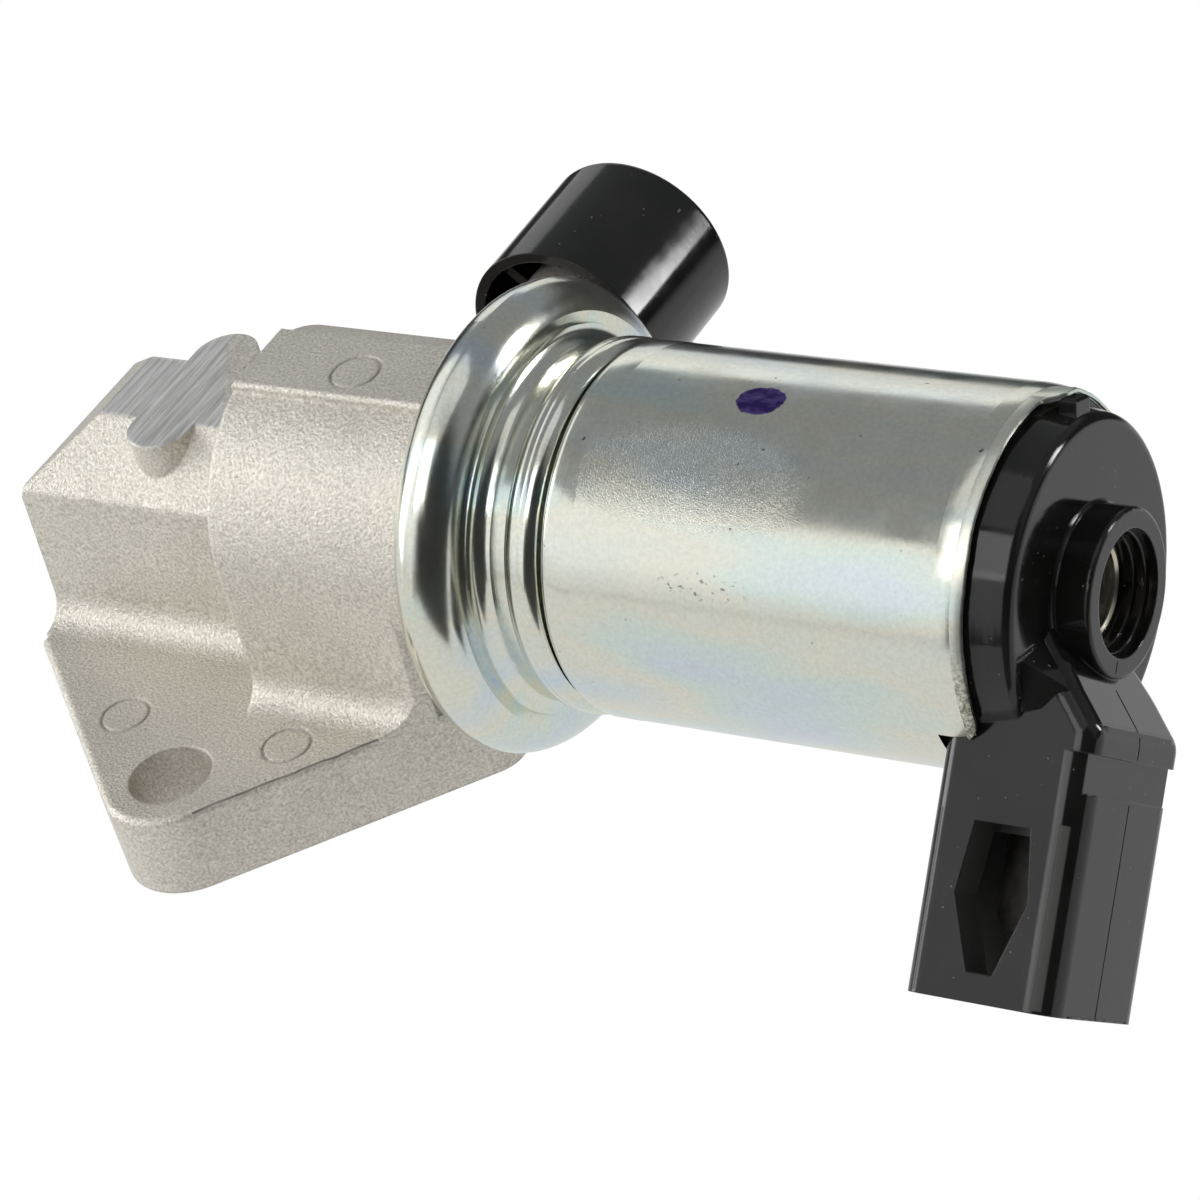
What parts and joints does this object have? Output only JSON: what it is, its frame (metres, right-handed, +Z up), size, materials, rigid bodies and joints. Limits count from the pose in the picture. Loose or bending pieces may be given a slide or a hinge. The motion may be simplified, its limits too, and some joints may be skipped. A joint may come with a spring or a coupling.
{
  "type": "idle air control valve",
  "caption": "Solenoid idle air control valve: cast flange body with two ports, plated can, rear inlet spigot with cap, and a sliding poppet inside.",
  "frame": {"origin": "centre of the mounting face, midway between the two bolt holes", "axes": "+X along the solenoid axis towards the connector, +Y towards the rear inlet spigot, +Z up out of the engine's face"},
  "size_m": [0.1217, 0.0822, 0.0557],
  "materials": {
    "cast_aluminium": "grainy die-cast aluminium",
    "brass": "plain turned brass",
    "black_plastic": "black moulded nylon, semi-gloss",
    "zinc_plate": "bright clear zinc plating",
    "rubber": "black moulded rubber",
    "steel": "turned mild steel",
    "natural_plastic": "natural glass-filled nylon",
    "copper_winding": "enamelled copper wire, wound",
    "spring_steel": "drawn stainless spring wire",
    "tin_plate": "tinned brass"
  },
  "bodies": {
    "housing": {"valve_body": "cast_aluminium", "valve_seat": "brass", "front_bush": "brass", "bearing_carrier": "cast_aluminium", "rear_bush": "brass", "inlet_cap": "black_plastic", "mounting_collar": "zinc_plate", "body_seal": "rubber", "solenoid_can": "zinc_plate", "front_plate": "steel", "guide_tube": "brass", "bobbin": "natural_plastic", "coil_winding": "copper_winding", "bobbin_washer": "spring_steel", "rear_plate": "steel", "fixed_core": "steel", "adjuster_screw": "steel", "terminal_inner": "tin_plate", "terminal_outer": "tin_plate", "cap_seal": "rubber", "end_cap": "black_plastic", "return_spring": "spring_steel", "balance_spring": "spring_steel"},
    "plunger": {"valve_shaft": "steel", "valve_poppet": "natural_plastic", "poppet_seal": "rubber", "poppet_clip_front": "spring_steel", "poppet_clip_rear": "spring_steel", "spring_cup": "steel", "cup_clip": "spring_steel", "armature": "steel"}
  },
  "joints": [
    {"name": "plunger_slide", "type": "slide", "parent": "housing", "child": "plunger", "axis": [1, 0, 0], "range_m": [0, 0.0035], "stiffness_N_per_m": 400, "springref_m": -0.005, "deforming": ["return_spring", "balance_spring"]}
  ]
}
